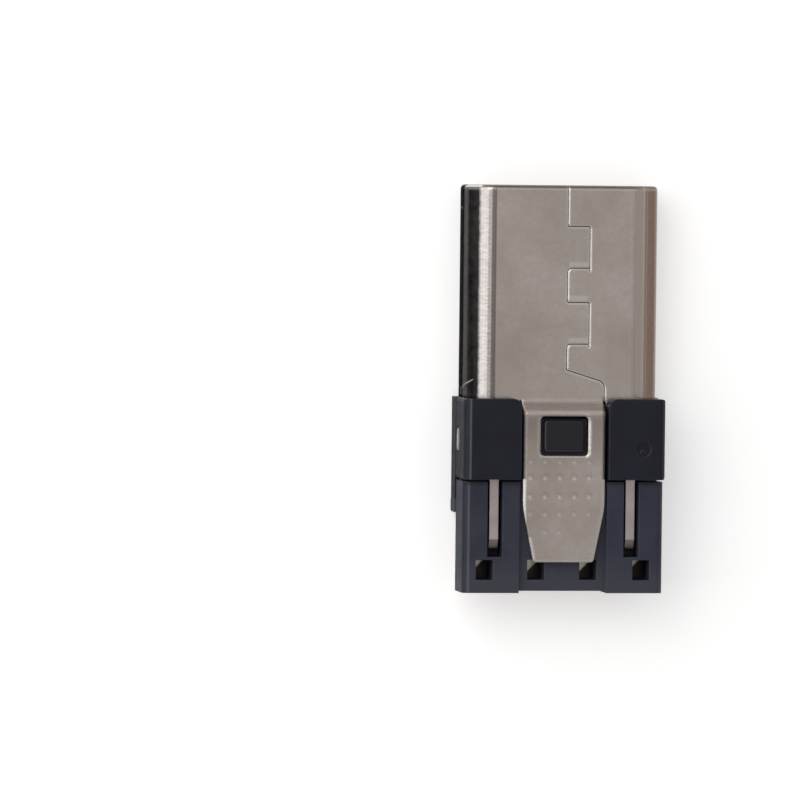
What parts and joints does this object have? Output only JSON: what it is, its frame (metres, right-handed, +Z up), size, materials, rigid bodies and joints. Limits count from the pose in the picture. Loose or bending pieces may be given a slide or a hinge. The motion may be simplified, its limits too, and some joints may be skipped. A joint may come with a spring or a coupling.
{
  "type": "micro usb plug",
  "caption": "Solder-type micro USB plug: folded metal shell with an interlocked seam, two sprung latches, a black collar and insulator, stamped contacts and a rear solder shelf.",
  "frame": {"origin": "under the middle of the plug's box, on the plane of the collar's flat latch-side face", "axes": "+Y points to the tip of the shell, +X runs across the plug, +Z points up out of the seam side"},
  "size_m": [0.0072, 0.0142, 0.0029],
  "materials": {
    "shell_metal": "satin nickel plate",
    "collar_plastic": "matte moulded black",
    "insulator_plastic": "matte moulded black",
    "contact_metal": "tin plated copper alloy",
    "latch_metal": "bright spring steel"
  },
  "bodies": {
    "housing": {"shell": "shell_metal", "collar": "collar_plastic", "insulator": "insulator_plastic", "contact_power": "contact_metal", "contact_data_minus": "contact_metal", "contact_data_plus": "contact_metal", "contact_ground": "contact_metal"},
    "left_latch": {"latch_left": "latch_metal"},
    "right_latch": {"latch_right": "latch_metal"}
  },
  "joints": [
    {"name": "left_latch_press", "type": "hinge", "parent": "housing", "child": "left_latch", "pos_m": [-0.0024, -0.00237, 0.0015], "axis": [1, 0, 0], "range_deg": [0, 3], "stiffness_Nm_per_rad": 0.08},
    {"name": "right_latch_press", "type": "hinge", "parent": "housing", "child": "right_latch", "pos_m": [0.0024, -0.00237, 0.0015], "axis": [1, 0, 0], "range_deg": [0, 3], "stiffness_Nm_per_rad": 0.08}
  ]
}
